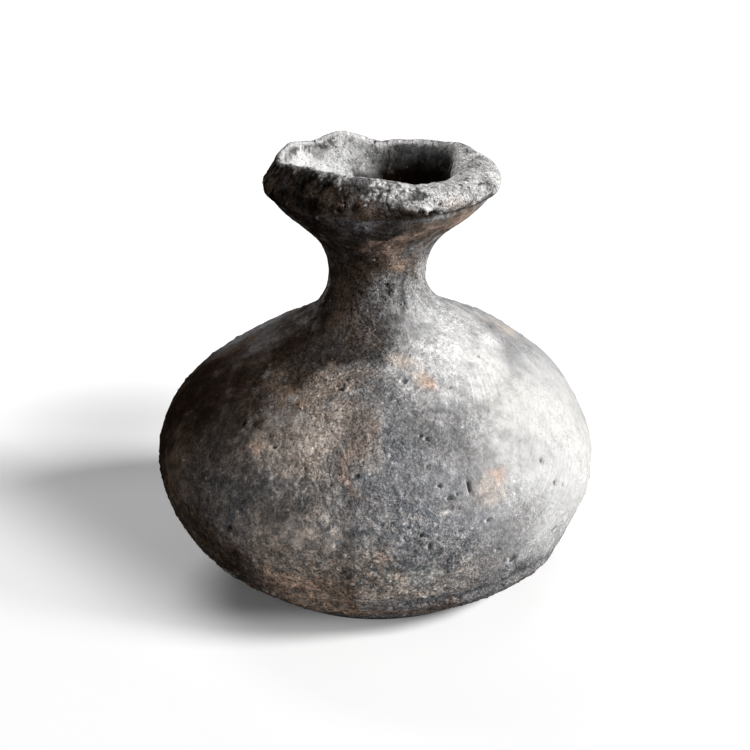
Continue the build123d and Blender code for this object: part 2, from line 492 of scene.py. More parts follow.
def lump_noise(points, size, seed):
    """Smooth noise, mostly between -1 and 1, with lumps about size millimetres across."""
    rng = np.random.default_rng(seed)
    table = rng.permutation(256).astype(np.int32)
    lean = unit(rng.normal(size=(256, 3)).astype(np.float32))

    def one_part(part):
        place = (part / np.asarray(size, np.float32)).astype(np.float32)
        cell = np.floor(place)
        inside = place - cell
        cell = cell.astype(np.int32)
        ease = inside * inside * inside * (inside * (inside * 6 - 15) + 10)
        total = np.zeros(len(part), np.float32)
        for corner in product((0, 1), repeat=3):
            key = 0
            for axis in range(3):
                key = table[(key + cell[:, axis] + corner[axis]) & 255]
            slope = lean[key]
            value = sum(slope[:, k] * (inside[:, k] - corner[k]) for k in range(3))
            for axis in range(3):
                value *= ease[:, axis] if corner[axis] else 1 - ease[:, axis]
            total += value
        return 1.7 * total

    parts = np.array_split(np.asarray(points, np.float32).reshape(-1, 3), 16)
    with ThreadPoolExecutor(4) as workers:
        return np.concatenate(list(workers.map(one_part, parts))).reshape(points.shape[:-1])


def cloud_noise(points, size, seed):
    """lump_noise with finer layers added."""
    return sum(lump_noise(points, size / 2**k, seed + k) * 0.6**k for k in range(3))


def smooth_step(low, high, value):
    """0 below low, 1 above high, and smooth between."""
    t = np.clip((value - low) / (high - low), 0, 1)
    return t * t * (3 - 2 * t)


def hump(value, middle, width):
    """1 at the middle, falling away on both sides."""
    return np.exp(-(((value - middle) / width) ** 2))


def angle_hump(angle, middle_deg, width_deg):
    """hump, on angles that wrap round."""
    turn = np.angle(np.exp(1j * (angle - math.radians(middle_deg))))
    return hump(turn, 0, math.radians(width_deg))


def bearing(flat):
    """The angle of each point round the flask, in degrees."""
    return np.degrees(np.arctan2(flat[:, 1], flat[:, 0]))


def degrees_apart(angle, middle):
    """How far angles are from a middle one, the short way round."""
    return np.abs((angle - middle + 180) % 360 - 180)


def rgb(values):
    """Three values in single precision."""
    return np.array(values, np.float32)


def lay_rings(rows):
    """Points of the plain form: one ring of COLUMNS points for each row."""
    turn = np.arange(COLUMNS) * 2 * math.pi / COLUMNS
    z, radius, lean = (rows[:, k, None] for k in range(3))
    body = BODY_WAVE_2 * np.sin(2 * turn) + BODY_WAVE_3 * np.sin(3 * turn)
    # The waves fade out towards the middle of the foot and in the round throat
    round_part = smooth_step(0, 12, radius)
    in_throat = smooth_step(THROAT_RADIUS + 0.1, THROAT_RADIUS + 3.0, radius)
    reach = radius + body * round_part * in_throat
    return np.stack([lean + reach * np.cos(turn), reach * np.sin(turn), z + 0 * reach], 2)


def read_lip(degrees):
    """Radius and height of the lip's crest, shoulder and widest line at each angle."""
    rows = np.array(LIP, float)
    full_turn = 360 * np.eye(7)[0]
    wrapped = np.concatenate([rows[-3:] - full_turn, rows, rows[:3] + full_turn])
    places = (degrees + 180) % 360 - 180
    curves = [natural_spline(wrapped[:, 0], wrapped[:, k], places) for k in range(1, 7)]
    return np.reshape(curves, (3, 2, -1))


def lay_lip(below, within):
    """The lip's rings outside and inside its crest, from the funnel's last two rings of each."""
    turn = np.arange(COLUMNS) * 2 * math.pi / COLUMNS
    crest, shoulder, widest = read_lip(np.degrees(turn))
    funnel = [np.stack([np.hypot(*ring.T[:2]), ring[:, 2]]) for ring in (*below, *within)]
    steps = [crest - step for step in INSIDE_THE_CREST]
    path = np.array([*funnel[:2], widest, shoulder, crest, *steps, funnel[3], funnel[2]])
    reach = np.hypot(*np.diff(path, axis=0).transpose(1, 0, 2)).mean(1)
    knots = np.concatenate([[0.0], np.cumsum(reach)])
    outside = np.linspace(knots[1], knots[4], LIP_ROWS + 1)[1:]
    inside = np.linspace(knots[7], knots[4], INNER_LIP_ROWS + 1)[1:]
    rings = []
    for places, edge in ((outside, below[1]), (inside, within[1])):
        start = np.arctan2(edge[:, 1], edge[:, 0])
        radius = natural_spline(knots, path[:, 0], places)
        height = natural_spline(knots, path[:, 1], places)
        share = np.linspace(0, 1, len(places) + 1)[1:, None]
        around = start + smooth_step(0, 0.5, share) * np.angle(np.exp(1j * (turn - start)))
        rings.append(np.stack([radius * np.cos(around), radius * np.sin(around), height], 2))
    return rings


def plain_rows(rings):
    """Mean height, radius and lean of rings, as curve_rows gives for stations."""
    middle = rings.mean(1)
    radius = np.hypot(rings[:, :, 0], rings[:, :, 1]).mean(1)
    return np.stack([middle[:, 2], radius, middle[:, 0]], 1)


def ring_normals(grid):
    """Outward normals of a grid of rings whose rows run upwards on the outside."""
    along = np.roll(grid, -1, 1) - np.roll(grid, 1, 1)
    return unit(np.cross(along, np.gradient(grid, axis=0)))


def random_spots(rng):
    """Small pits all over, and grains that stand out low down: negative depths."""
    spots = []
    for _ in range(RANDOM_PITS):
        size = 0.3 + 0.45 * rng.random() ** 4
        angle, height = rng.uniform(-180, 180), rng.uniform(5, 88)
        spots.append((angle, height, size, size * rng.uniform(0.5, 1.1)))
    for _ in range(RANDOM_GRAINS):
        size = 0.32 + 0.4 * rng.random() ** 3
        angle, height = rng.uniform(-180, 180), 5 + 52 * rng.random() ** 1.3
        spots.append((angle, height, size, -size * rng.uniform(0.15, 0.4)))
    return spots


def press_pits(grid, rows, height_map, pit_shade_map, painted_lit_edge, uneven):
    """Pits, grains and gouges, with painted shade in each deep one and a painted highlight to its
    left, where the lamp lights the far wall.

    Each is worked out only on the rows and columns near it.
    """
    rng = np.random.default_rng(PIT_SEED)
    spots = [(*pit[:2], 1.15 * pit[2], 0.75 * pit[3]) for pit in PITS] + random_spots(rng)
    groove = 0 * height_map

    def find(angle, height):
        row = np.abs(rows[:, 0] - height).argmin()
        return row, int(round(math.radians(angle) / (2 * math.pi) * COLUMNS)) % COLUMNS

    def near(row, column, up, across):
        picked = range(max(0, row - up), min(len(rows), row + up + 1))
        return np.ix_(picked, np.arange(column - across, column + across + 1) % COLUMNS)

    def left_of(apart, angle, step):
        turn = math.radians(angle)
        rightward = np.array([-math.sin(turn), math.cos(turn), 0.0])
        return np.linalg.norm(apart + step * rightward, axis=2)

    for angle, height, radius, depth in spots:
        row, column = find(angle, height)
        across = int(3 * radius / (2 * math.pi * max(rows[row, 1], 5) / COLUMNS)) + 2
        place = near(row, column, 14, across)
        apart = grid[place] - grid[row, column]
        beside = left_of(apart, angle, 1.05 * radius) / radius
        apart = apart * rng.uniform(0.75, 1.3, 3)
        away = np.linalg.norm(apart, axis=2) / radius * (1 + 0.7 * uneven[place])
        rim = 0.35 * max(depth, 0) * hump(away, 1.3, 0.35)
        height_map[place] += -depth * np.exp(-(away**3)) + rim
        # Deep pits get painted shade inside and a painted highlight to their left
        if depth > 0.2:
            pit_shade_map[place] = np.maximum(pit_shade_map[place], np.exp(-((1.4 * away) ** 4)))
            painted_lit_edge[place] = np.maximum(painted_lit_edge[place], np.exp(-((1.5 * beside) ** 4)))
    for *start, end_angle, end_z, width, depth in GOUGES:
        for share in np.linspace(0, 1, 60):
            angle = start[0] + share * (end_angle - start[0])
            row, column = find(angle, start[1] + share * (end_z - start[1]))
            place = near(row, column, 6, 8)
            apart = grid[place] - grid[row, column]
            away = np.linalg.norm(apart, axis=2) / width
            cut = np.exp(-(away**2)) * min(1, 4 * share * (1 - share) + 0.25)
            groove[place] = np.maximum(groove[place], depth * cut)
            beside = left_of(apart, angle, 1.2 * width) / width
            painted_lit_edge[place] = np.maximum(painted_lit_edge[place], depth * np.exp(-((1.4 * beside) ** 4)))
    height_map -= groove
    pit_shade_map[:] = np.maximum(pit_shade_map, groove)


def relief(grid, rows, lip):
    """Height of the outside's relief over the plain form, and masks for the material."""
    still = grid.astype(np.float32)
    angle = np.arctan2(grid[:, :, 1], grid[:, :, 0])
    z = grid[:, :, 2]
    level = rows[:, 0, None]

    def noise(size, seed):
        return lump_noise(still, size, seed)

    low = smooth_step(30, 8, z)
    right = smooth_step(0, 0.95, np.cos(angle + math.radians(10)))
    left = angle_hump(angle, 180, 55)
    neck = hump(z, 68, 9)

    # The hand's own unevenness, then grit and grains, strongest low down and in front
    hand = 0.24 * noise(19, 1) + 0.15 * noise(7.5, 2) + 0.07 * noise(3.4, 14)
    worn_smooth = angle_hump(angle, -112, 16) * hump(z, 42, 6)
    gritty = 1.2 + 0.4 * noise(11, 3) + 0.7 * low - 1.05 * right - 0.8 * left - 0.4 * worn_smooth
    gritty = np.clip(gritty, 0.1, 1.8)
    coarse, middle, fine = noise(1.9, 4), noise(1.1, 5), noise(0.62, 15)
    grit = 0.06 * coarse + 0.065 * middle + 0.04 * fine
    grains = 0.22 * np.maximum(middle - 0.34, 0) - 0.34 * np.maximum(-0.42 - coarse, 0)

    # Level scrape marks low down, and slanting strokes where a hand wiped the right side
    scrape = 0.06 * noise((8, 8, 0.7), 6) * low * (0.5 + 0.6 * noise(16, 7))
    across, along = 40 * angle, z / 0.8
    cos, sin = math.cos(STROKE_SLANT), math.sin(STROKE_SLANT)
    turned = [(along * cos + across * sin) / STROKE_LENGTH]
    turned += [(across * cos - along * sin) / STROKE_WIDTH, 0 * z]
    strokes = 0.08 * lump_noise(np.stack(turned, 2), 1, 8)
    strokes = strokes * np.clip(0.4 + noise(13, 16), 0, 1) * right
    rough_lip = 0.28 * noise(4.6, 9) + 0.16 * noise(2.3, 10) + 0.05 * noise(1.2, 11)
    crease = hump(noise(5.5, 17) + 0.3 * coarse, 0, 0.05)
    rough_lip -= 0.3 * crease * smooth_step(-0.1, 0.3, noise(8, 18))

    small = (grit + grains) * gritty * (1 - 0.15 * neck) * (1 - 0.3 * lip) + scrape + strokes
    height = hand * (1 - 0.5 * neck) * (1 - 0.6 * lip) + small + rough_lip * lip

    # The groove over the ridge, the full corner under it, the lip's seam and the neck's root
    above_ridge = level - RIDGE_Z
    side = 0.35 + angle_hump(angle, -50, 38) + 0.5 * angle_hump(angle, 120, 60)
    line = 1 + 1.7 * angle_hump(angle, -40, 26)
    height -= 0.42 * hump(above_ridge, line, 0.85) * side * (level > RIDGE_Z)
    height += 0.22 * hump(above_ridge, line - 1.3, 0.9)
    height += 0.95 * hump(level, 8.5, 5) * angle_hump(angle, -34, 34)
    seam = 1.1 * angle_hump(angle, -42, 30) + 0.5 * angle_hump(angle, 60, 50)
    seam = np.clip(seam + 0.25 * noise(6, 12), 0, 1.4)
    height -= 0.5 * hump(level, LIP_SEAM_Z, 0.5) * seam
    height -= 0.16 * hump(level, 59, 0.9) * np.clip(0.5 + noise(8, 13), 0, 1)

    pit_shade, painted_lit_edge = 0 * z, 0 * z
    press_pits(grid, rows, height, pit_shade, painted_lit_edge, middle)
    # The painted highlights beside pits stay on the side the lamp lights
    painted_lit_edge *= smooth_step(-30, 0, grid[:, :, 0])
    small = small - 0.06 * coarse * gritty + rough_lip * lip * 0.4
    gritty = np.clip((gritty + 0.8 * neck + lip) / 1.5, 0, 1)
    height = height * smooth_step(0, 1.6, z)
    return height, np.clip(0.5 + small / 0.4, 0, 1), pit_shade, gritty, painted_lit_edge


# One face of the wall
Skin = namedtuple("Skin", "rows points normals masks")


def row_at(skin, end):
    """The row nearest to a join's end, given as radius and height."""
    return int(np.hypot(skin.rows[:, 1] - end[0], skin.rows[:, 0] - end[1]).argmin())


def build_skins():
    """The outside and inside as grids of points, their normals and masks for the material."""
    foot = np.array([(0.0, radius, FOOT_LEAN) for radius in FLAT_RINGS])
    band = curve_rows(UNDERSIDE, OUTER_STEP)
    wall = curve_rows(WALL, OUTER_STEP)[1:]
    outer_rows = np.concatenate([foot, band, wall])
    floor = np.array([(FLOOR_TOP, radius, FLOOR_LEAN) for radius in FLAT_RINGS[:5]])
    cavity = curve_rows(CAVITY, HIDDEN_STEP)
    throat = curve_rows(THROAT, MOUTH_STEP * 2)[1:]
    funnel = curve_rows(FUNNEL, MOUTH_STEP)[1:]
    inner_rows = np.concatenate([floor, cavity, throat, funnel])

    outer, inner = lay_rings(outer_rows), lay_rings(inner_rows)
    lip_outside, lip_inside = lay_lip((outer[-9], outer[-1]), (inner[-6], inner[-1]))
    outer = np.concatenate([outer, lip_outside])
    inner = np.concatenate([inner, lip_inside])
    outer_rows = np.concatenate([outer_rows, plain_rows(lip_outside)])
    inner_rows = np.concatenate([inner_rows, plain_rows(lip_inside)])

    normals = ring_normals(outer)
    over_seam = np.arange(len(outer)) - (len(outer) - LIP_ROWS)
    lip = smooth_step(-4, 4, over_seam)[:, None] + 0 * outer[:, :, 0]
    rise = (over_seam + 1)[:, None] / LIP_ROWS + 0 * lip
    height, grain, pit_shade, gritty, painted_lit_edge = relief(outer, outer_rows, lip)
    paint = paint_clay(outer, lip, rise)
    outer = outer + normals * height[:, :, None]
    outer[:, :, 2] = np.maximum(outer[:, :, 2], 0.0)

    # Small dents inside, only where the mouth shows them; the crest joins the two faces
    visible = smooth_step(THROAT_HIGH, THROAT_HIGH + 5, inner[:, :, 2])
    dents = 0.26 * lump_noise(inner, 8, 21) + 0.12 * lump_noise(inner, 3, 22)
    dents += 0.07 * lump_noise(inner, 1.5, 23) + 0.05 * lump_noise(inner, 0.9, 24)
    dents = dents * visible
    crest = smooth_step(len(inner) - 7, len(inner) - 1, np.arange(len(inner)))[:, None]
    inner_grain = np.clip(0.5 + dents / 0.6, 0, 1)
    inner_grain = inner_grain * (1 - crest) + grain[-1] * crest
    inner = inner - ring_normals(inner) * (dents * (1 - crest))[:, :, None]
    inner = inner + (outer[-1] - inner[-1])[None] * crest[:, :, None]

    outer_normals = ring_normals(outer)
    inner_normals = -ring_normals(inner)
    outer_normals[-1] = inner_normals[-1] = unit(outer_normals[-1] + inner_normals[-1])
    rim, inner_rim = (
        hump(np.linalg.norm(grid - grid[-1], axis=2), 0, RIM_WIDTH) for grid in (outer, inner)
    )
    # The rim mask also carries the painted highlights beside pits
    rim = np.maximum(rim, 0.6 * painted_lit_edge * (1 - pit_shade))
    depth = inner[-1, :, 2] - inner[:, :, 2]
    shade = paint_mouth_light_and_shade(inner)
    shade += smooth_step(0.5, 0.05, depth)[:, :, None] * (paint[-1][None] - shade)
    outside = [grain, pit_shade, rim, gritty, *paint.transpose(2, 0, 1)]
    within = [inner_grain, 0 * depth, inner_rim, 0.4 + 0 * depth, *shade.transpose(2, 0, 1)]
    return (
        Skin(outer_rows, outer, outer_normals, np.stack(outside)),
        Skin(inner_rows, inner, inner_normals, np.stack(within)),
    )


def lay_patches(colour, place, ragged, patches):
    """Lays each named patch of clay colour over what is there, with a ragged edge."""
    for angle, height, radius, across, up, shade, strength, *turn in patches:
        away, lean = math.radians(angle), math.radians(sum(turn))
        apart = place - rgb([radius * math.cos(away), radius * math.sin(away), height])
        near = np.flatnonzero((np.abs(apart) < 2.4 * max(across, up)).all(1))
        apart = apart[near]
        inward = apart[:, 0] * math.cos(away) + apart[:, 1] * math.sin(away)
        along = apart[:, 1] * math.cos(away) - apart[:, 0] * math.sin(away)
        side = along * math.cos(lean) + apart[:, 2] * math.sin(lean)
        rise = apart[:, 2] * math.cos(lean) - along * math.sin(lean)
        far = np.sqrt((inward / max(across, up)) ** 2 + (side / across) ** 2 + (rise / up) ** 2)
        cover = strength * smooth_step(1 + PATCH_SOFTNESS, 1 - PATCH_SOFTNESS, far + ragged[near])
        colour[near] += cover[:, None] * (rgb(shade) - colour[near])


def paint_clay(grid, lip, rise):
    """Smoke, scorch and bare clay round the outside, as red, green and blue."""
    flat = grid.reshape(-1, 3).astype(np.float32)
    x, z = flat[:, 0], flat[:, 2]
    swirl = np.stack([cloud_noise(flat, 11, seed) for seed in (31, 41, 51)], 1)
    ragged = cloud_noise(flat, 3.2, 61)
    share = smooth_step(-0.35, 0.35, cloud_noise(flat, 17, 71))[:, None]
    colour = (1 - share) * rgb(GREY) + share * rgb(PALE_GREY)
    lay_patches(colour, flat + 3.8 * swirl, 0.32 * ragged, PATCHES)
    lay_patches(colour, flat + 1.3 * swirl, 0.3 * ragged, SPOTS)

    # Flaked blotches with crisp edges, strongest on the funnel and absent on the pale side
    flake = cloud_noise(flat, 2.6, 111) + 0.5 * cloud_noise(flat, 0.9, 121)
    flake = smooth_step(-0.06, 0.06, flake) - 0.5
    funnel = smooth_step(70, 76, z)
    dull = 1 - smooth_step(10, 34, x)
    colour *= (1 + flake * (0.26 + 0.4 * funnel) * dull)[:, None]

    # Finer mottle, warm where it is light and cool where it is dark, strongest low down
    fine = smooth_step(-0.22, 0.22, cloud_noise(flat, 1.7, 131)) - 0.5
    fine *= dull * (0.35 + 0.65 * smooth_step(44, 26, z)) * smooth_step(74, 66, z)
    colour *= 1 + fine[:, None] * rgb(MOTTLE_TINT)

    # The lip is dark underneath, as smoke and painted shade under its roll, and pale from some
    # way up to its crest, as ash and painted light
    edge = np.interp(bearing(flat), *np.array(LIP_PALE_FROM).T, period=360)
    light, cloud, fleck = pale_clay(flat)
    up = rise.ravel() + 0.16 * ragged + 0.08 * fleck
    pale_and_lit = smooth_step(-0.07, 0.09, up - edge)[:, None]
    dark_and_shaded = rgb(UMBER) * np.clip(0.3 + 0.2 * share + 0.6 * cloud[:, None], 0.06, 2)
    rolled = dark_and_shaded + pale_and_lit * (light - dark_and_shaded)
    lay_patches(rolled, flat + 1.3 * swirl, 0.35 * ragged, LIP_PATCHES)
    reach = lip.ravel() + 0.35 * ragged * (lip.ravel() > 0)
    colour += np.clip(reach, 0, 1)[:, None] * (rolled - colour)
    return colour.reshape(*grid.shape)


def pale_clay(flat):
    """The ashy clay round the mouth, darker on its far left and paler on its near right, which
    the lamp lights: ash and painted light.
    """
    angle = bearing(flat)
    behind = smooth_step(60, 25, degrees_apart(angle, 165))
    near = smooth_step(80, 40, degrees_apart(angle, -15))
    cloud, fleck = cloud_noise(flat, 3.4, 91), cloud_noise(flat, 1.1, 101)
    share = smooth_step(-0.35, 0.35, cloud + 0.6 * fleck - 0.7 * behind + 0.6 * near)[:, None]
    grey = 0.6 * rgb(GREY)
    return grey + share * (rgb(CHALK) - grey), cloud, fleck


def paint_mouth_light_and_shade(grid):
    """Inside the mouth, with its light and shade painted in: pale where the lamp lights the left
    wall, grey behind, and painted shade, soot-dark, deeper down and on the right.
    """
    flat = grid.reshape(-1, 3).astype(np.float32)
    light, cloud, fleck = pale_clay(flat)
    # Painted light: the left wall, which the lamp lights, is paler
    side = smooth_step(6, -14, flat[:, 0] + 3.5 * cloud)
    drop = (grid[-1, :, 2][None] - grid[:, :, 2]).ravel()
    # Painted shade deeper down and on the right, where the rim shades the wall
    deep = np.clip(drop / MOUTH_DEPTH, 0, 1) * np.clip(1.4 - 1.8 * side, 0, 2) + 0.1 * cloud
    painted_shade = smooth_step(0.15, 0.95, deep)[:, None]
    level = np.clip(0.2 + 1.15 * side**1.3 + 0.2 * cloud + 0.16 * fleck, 0.03, 1.15)
    wall = rgb(ASH) * level[:, None]
    wall += painted_shade * (0.5 * rgb(SOOT) - wall)
    rim = smooth_step(2.4, 0.2, drop + 1.4 * cloud + 1.2 * fleck)[:, None]
    return (wall + rim * (light - wall)).reshape(*grid.shape)


def show(name, data):
    """Puts a new object with some data in the scene."""
    thing = bpy.data.objects.new(name, data)
    bpy.context.scene.collection.objects.link(thing)
    return thing


def make_piece(name, outer, inner, low_join, high_join, material):
    """One clay piece: its stretch of outside, its upper lute, inside, and lower lute."""
    rings = []

    def add(skin, picked):
        for row in picked:
            rings.append((skin.points[row], skin.normals[row], skin.masks[:, row], skin))

    def add_lute(start, end):
        plain = np.tile(np.array(LUTE_MASK)[:, None], COLUMNS)
        for share in np.linspace(0, 1, LUTE_ROWS + 2)[1:-1]:
            rings.append((start + share * (end - start), None, plain, None))

    first = row_at(outer, low_join[0]) if low_join else 0
    last = row_at(outer, high_join[0]) if high_join else len(outer.rows) - 1
    inner_first = row_at(inner, low_join[1]) if low_join else 0
    inner_last = row_at(inner, high_join[1]) if high_join else len(inner.rows) - 2
    add(outer, range(first, last + 1))
    if high_join:
        add_lute(outer.points[last], inner.points[inner_last])
    add(inner, range(inner_last, inner_first - 1, -1))
    closed = low_join is not None
    if closed:
        add_lute(inner.points[inner_first], outer.points[first])
    points, normals, masks, skins = zip(*rings)

    # Faces between each ring and the next, smooth on the clay's faces and plain on the lutes
    count = len(rings)
    points = np.concatenate(points)
    columns = np.arange(COLUMNS)
    following = (columns + 1) % COLUMNS
    quads, loop_normals = [], []
    for row in range(count if closed else count - 1):
        above = (row + 1) % count
        corners = [row * COLUMNS + columns, row * COLUMNS + following]
        corners += [above * COLUMNS + following, above * COLUMNS + columns]
        quads.append(np.stack(corners, 1))
        over_crest = high_join is None and skins[row] is outer and skins[above] is inner
        if skins[row] and (skins[row] is skins[above] or over_crest):
            lower, upper = normals[row], normals[above]
            four = [lower, lower[following], upper[following], upper]
            loop_normals.append(np.stack(four, 1))
        else:
            a, b, c, d = points[np.array(corners)]
            loop_normals.append(np.repeat(unit(np.cross(c - a, d - b))[:, None], 4, axis=1))

    faces = np.concatenate(quads).tolist()
    split = np.concatenate(loop_normals).reshape(-1, 3)
    values = np.concatenate(masks, 1)
    if not closed:
        # The foot and the floor of the belly close in fans round two more points
        foot, floor = len(points), len(points) + 1
        points = np.concatenate([points, [(FOOT_LEAN, 0, 0), (FLOOR_LEAN, 0, FLOOR_TOP)]])
        top = (count - 1) * COLUMNS
        faces += [[foot, int(b), int(a)] for a, b in zip(columns, following)]
        faces += [[floor, top + int(a), top + int(b)] for a, b in zip(columns, following)]
        down = np.tile((0.0, 0.0, -1.0), (3 * COLUMNS, 1))
        split = np.concatenate([split, down, -down])
        values = np.concatenate([values, np.stack([LUTE_MASK, FLOOR_MASK], 1)], 1)

    mesh = bpy.data.meshes.new(name + "_clay")
    mesh.from_pydata((points * MM).tolist(), [], faces)
    mesh.shade_smooth()
    for label, value in zip(MASKS, values):
        layer = mesh.attributes.new(label, "FLOAT", "POINT")
        layer.data.foreach_set("value", value.astype(np.float32))
    layer = mesh.attributes.new("firing", "FLOAT_VECTOR", "POINT")
    layer.data.foreach_set("vector", values[len(MASKS) :].T.astype(np.float32).ravel())
    lay_bake_map(mesh, count, last - first, closed)
    mesh.normals_split_custom_set(split.astype(np.float32).tolist())
    mesh.materials.append(material)
    piece = show(name + "_clay", mesh)
    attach(piece, "root")
    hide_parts(name)


def lay_bake_map(mesh, count, outside, closed):
    """A map for baked colours: the ring cut into strips, most of each for the outside."""
    row_total = count if closed else count - 1
    level = np.zeros(row_total + 1)
    level[: outside + 1] = np.linspace(0, BAKE_OUTSIDE, outside + 1)
    level[outside:] = np.linspace(BAKE_OUTSIDE, 1, row_total + 1 - outside)
    level = BAKE_EDGE + (1 - 2 * BAKE_EDGE) * level
    per_strip = COLUMNS // BAKE_STRIPS
    columns = np.arange(COLUMNS)
    strip = columns // per_strip
    start = BAKE_EDGE + (1 - 2 * BAKE_EDGE) * (columns % per_strip) / per_strip
    end = start + (1 - 2 * BAKE_EDGE) / per_strip
    loops = []
    for row in range(row_total):
        low = (strip + level[row]) / BAKE_STRIPS
        high = (strip + level[row + 1]) / BAKE_STRIPS
        corners = [start, low, end, low, end, high, start, high]
        loops.append(np.stack(corners, 1).reshape(-1, 2))
    if not closed:
        for edge in (0.0, 1.0):
            at = (strip + edge) / BAKE_STRIPS
            fan = [(start + end) / 2, at, start, at, end, at]
            loops.append(np.stack(fan, 1).reshape(-1, 2))
    layer = mesh.uv_layers.new(name="OFBake")
    layer.uv.foreach_set("vector", np.concatenate(loops).astype(np.float32).ravel())


class Nodes:
    """Adds shader nodes to a material or world, and joins them."""

    def __init__(self, owner):
        owner.use_nodes = True
        self.tree = owner.node_tree
        self.tree.nodes.clear()

    def add(self, kind, inputs=None, **settings):
        node = self.tree.nodes.new(kind)
        for key, value in settings.items():
            setattr(node, key, value)
        for key, value in (inputs or {}).items():
            self.set(node.inputs[key], value)
        return node

    def set(self, socket, value):
        if isinstance(value, bpy.types.NodeSocket):
            self.tree.links.new(value, socket)
        else:
            socket.default_value = value

    def math(self, operation, *values):
        return self.add("ShaderNodeMath", dict(enumerate(values)), operation=operation).outputs[0]

    def times(self, *values):
        return reduce(lambda first, second: self.math("MULTIPLY", first, second), values)

    def vector(self, operation, *values, out="Vector"):
        node = self.add("ShaderNodeVectorMath", dict(enumerate(values)), operation=operation)
        return node.outputs[out]

    def attribute(self, name, out="Fac"):
        return self.add("ShaderNodeAttribute", attribute_name=name).outputs[out]

    def noise(self, place, size, detail, roughness=0.6):
        values = {"Vector": place, "Scale": 1 / size, "Detail": detail, "Roughness": roughness}
        return self.add("ShaderNodeTexNoise", values).outputs["Fac"]

    def cells(self, place, size):
        values = {"Vector": place, "Scale": 1 / size, "Randomness": 1.0}
        return self.add("ShaderNodeTexVoronoi", values).outputs

    def between(self, value, low, high, to_low=0.0, to_high=1.0):
        values = dict(enumerate((value, low, high, to_low, to_high)))
        return self.add("ShaderNodeMapRange", values, interpolation_type="SMOOTHSTEP").outputs[0]

    def mix(self, share, first, second):
        values = {0: share, 6: first, 7: second}
        return self.add("ShaderNodeMix", values, data_type="RGBA").outputs[2]

    def bump(self, height, strength, depth, **under):
        values = {"Height": height, "Strength": strength, "Distance": depth, **under}
        return self.add("ShaderNodeBump", values).outputs[0]

    def seen(self):
        """1 where something shows what it is, and 0 where it only passes light on."""
        path = self.add("ShaderNodeLightPath").outputs
        seen = self.math("MAXIMUM", path["Is Camera Ray"], path["Is Glossy Ray"])
        return self.math("MAXIMUM", seen, path["Is Transmission Ray"])


